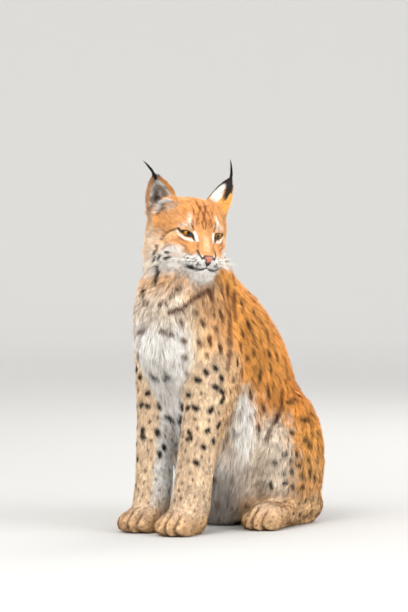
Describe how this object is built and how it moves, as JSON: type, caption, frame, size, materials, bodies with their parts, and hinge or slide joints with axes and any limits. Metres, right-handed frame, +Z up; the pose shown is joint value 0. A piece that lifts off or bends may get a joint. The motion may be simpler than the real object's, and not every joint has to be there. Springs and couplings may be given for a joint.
{
  "type": "eurasian lynx",
  "caption": "Life-size eurasian lynx sitting upright on its haunches, its head turned to its left, with tufted ears, a cheek ruff and a short tail laid on the floor.",
  "frame": {"origin": "middle of the bounding box, at its bottom, on the floor", "axes": "-Y the way the chest and forelegs face, +X the animal's left side, +Z up"},
  "size_m": [0.3602, 0.6146, 0.8075],
  "materials": {
    "tan_coat": "short to middling tan fur with small dark spots",
    "rust_coat": "tawny orange fur with dark brown spots",
    "cream_coat": "long cream white fur",
    "black_tuft": "stiff black hair",
    "nose_leather": "damp bare skin, pinkish brown with a dark rim",
    "eye": "wet and clear, amber iris"
  },
  "bodies": {
    "root": {"head": "tan_coat", "neck": "cream_coat", "trunk": "rust_coat", "tail": "rust_coat", "foreleg_left": "tan_coat", "foreleg_right": "tan_coat", "forepaw_left": "tan_coat", "forepaw_right": "tan_coat", "hindleg_left": "tan_coat", "hindleg_right": "tan_coat", "hindpaw_left": "tan_coat", "hindpaw_right": "tan_coat", "ear_left": "rust_coat", "ear_right": "rust_coat", "ear_tuft_left": "black_tuft", "ear_tuft_right": "black_tuft", "eye_left": "eye", "eye_right": "eye", "nose": "nose_leather"}
  },
  "joints": []
}
